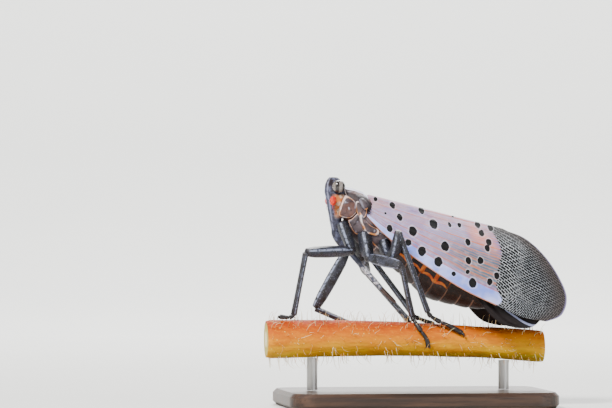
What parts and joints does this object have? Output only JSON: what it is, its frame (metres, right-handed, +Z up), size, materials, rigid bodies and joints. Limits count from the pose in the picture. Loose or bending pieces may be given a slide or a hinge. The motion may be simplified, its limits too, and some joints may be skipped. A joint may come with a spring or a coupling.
{
  "type": "spotted lanternfly model on a stem perch",
  "caption": "Still, life-size adult spotted lanternfly with folded wings on a cut stem, held by a flat base and short rods.",
  "frame": {"origin": "centre of the underside of the stand's base, which is also under the centre of the whole part", "axes": "+Z up; the head points along -X and the tail along +X; the insect's left side faces -Y"},
  "size_m": [0.0278, 0.016, 0.0213],
  "materials": {
    "face_grey": "satin horn, bluish grey with a waxy bloom",
    "eye": "glossy compound eye, grey brown",
    "antenna_orange": "pebbled bulb, bright orange red",
    "thorax_plate": "satin shell plate, grey brown with pale orange seams",
    "leg_grey": "ridged shell, blue grey with a waxy bloom",
    "leg_dark": "ridged shell, nearly black",
    "abdomen_brown": "leathery plates, dark brown with orange skin between",
    "forewing": "parchment wing, lavender grey with black spots and a netted tip",
    "hindwing": "thin wing, nearly black with a pale edge",
    "stem": "green wood, orange gold with pale specks and hairs",
    "stand_wood": "dark stained hardwood, satin",
    "stand_metal": "brushed steel"
  },
  "bodies": {
    "root": {"head": "face_grey", "eye_left": "eye", "eye_right": "eye", "antenna_left": "antenna_orange", "antenna_right": "antenna_orange", "clypeus": "face_grey", "beak_base": "leg_grey", "beak_tip": "leg_dark", "pronotum": "thorax_plate", "mesothorax": "thorax_plate", "metathorax": "thorax_plate", "abdomen_tip": "abdomen_brown", "forewing_left": "forewing", "forewing_right": "forewing", "hindwing_left": "hindwing", "hindwing_right": "hindwing", "tegula_left": "thorax_plate", "tegula_right": "thorax_plate", "perch_stem": "stem", "stand_base": "stand_wood", "stand_rod_front": "stand_metal", "stand_rod_back": "stand_metal", "abdomen_1": "abdomen_brown", "abdomen_2": "abdomen_brown", "abdomen_3": "abdomen_brown", "abdomen_4": "abdomen_brown", "abdomen_5": "abdomen_brown", "abdomen_6": "abdomen_brown", "coxa_fore_left": "leg_grey", "coxa_fore_right": "leg_grey", "coxa_mid_left": "leg_grey", "coxa_mid_right": "leg_grey", "coxa_hind_left": "leg_grey", "coxa_hind_right": "leg_grey", "femur_fore_left": "leg_grey", "tibia_fore_left": "leg_grey", "tarsus_fore_left": "leg_dark", "femur_fore_right": "leg_grey", "tibia_fore_right": "leg_grey", "tarsus_fore_right": "leg_dark", "femur_mid_left": "leg_grey", "tibia_mid_left": "leg_grey", "tarsus_mid_left": "leg_dark", "femur_mid_right": "leg_grey", "tibia_mid_right": "leg_grey", "tarsus_mid_right": "leg_dark", "femur_hind_left": "leg_grey", "tibia_hind_left": "leg_grey", "tarsus_hind_left": "leg_dark", "femur_hind_right": "leg_grey", "tibia_hind_right": "leg_grey", "tarsus_hind_right": "leg_dark"}
  },
  "joints": []
}
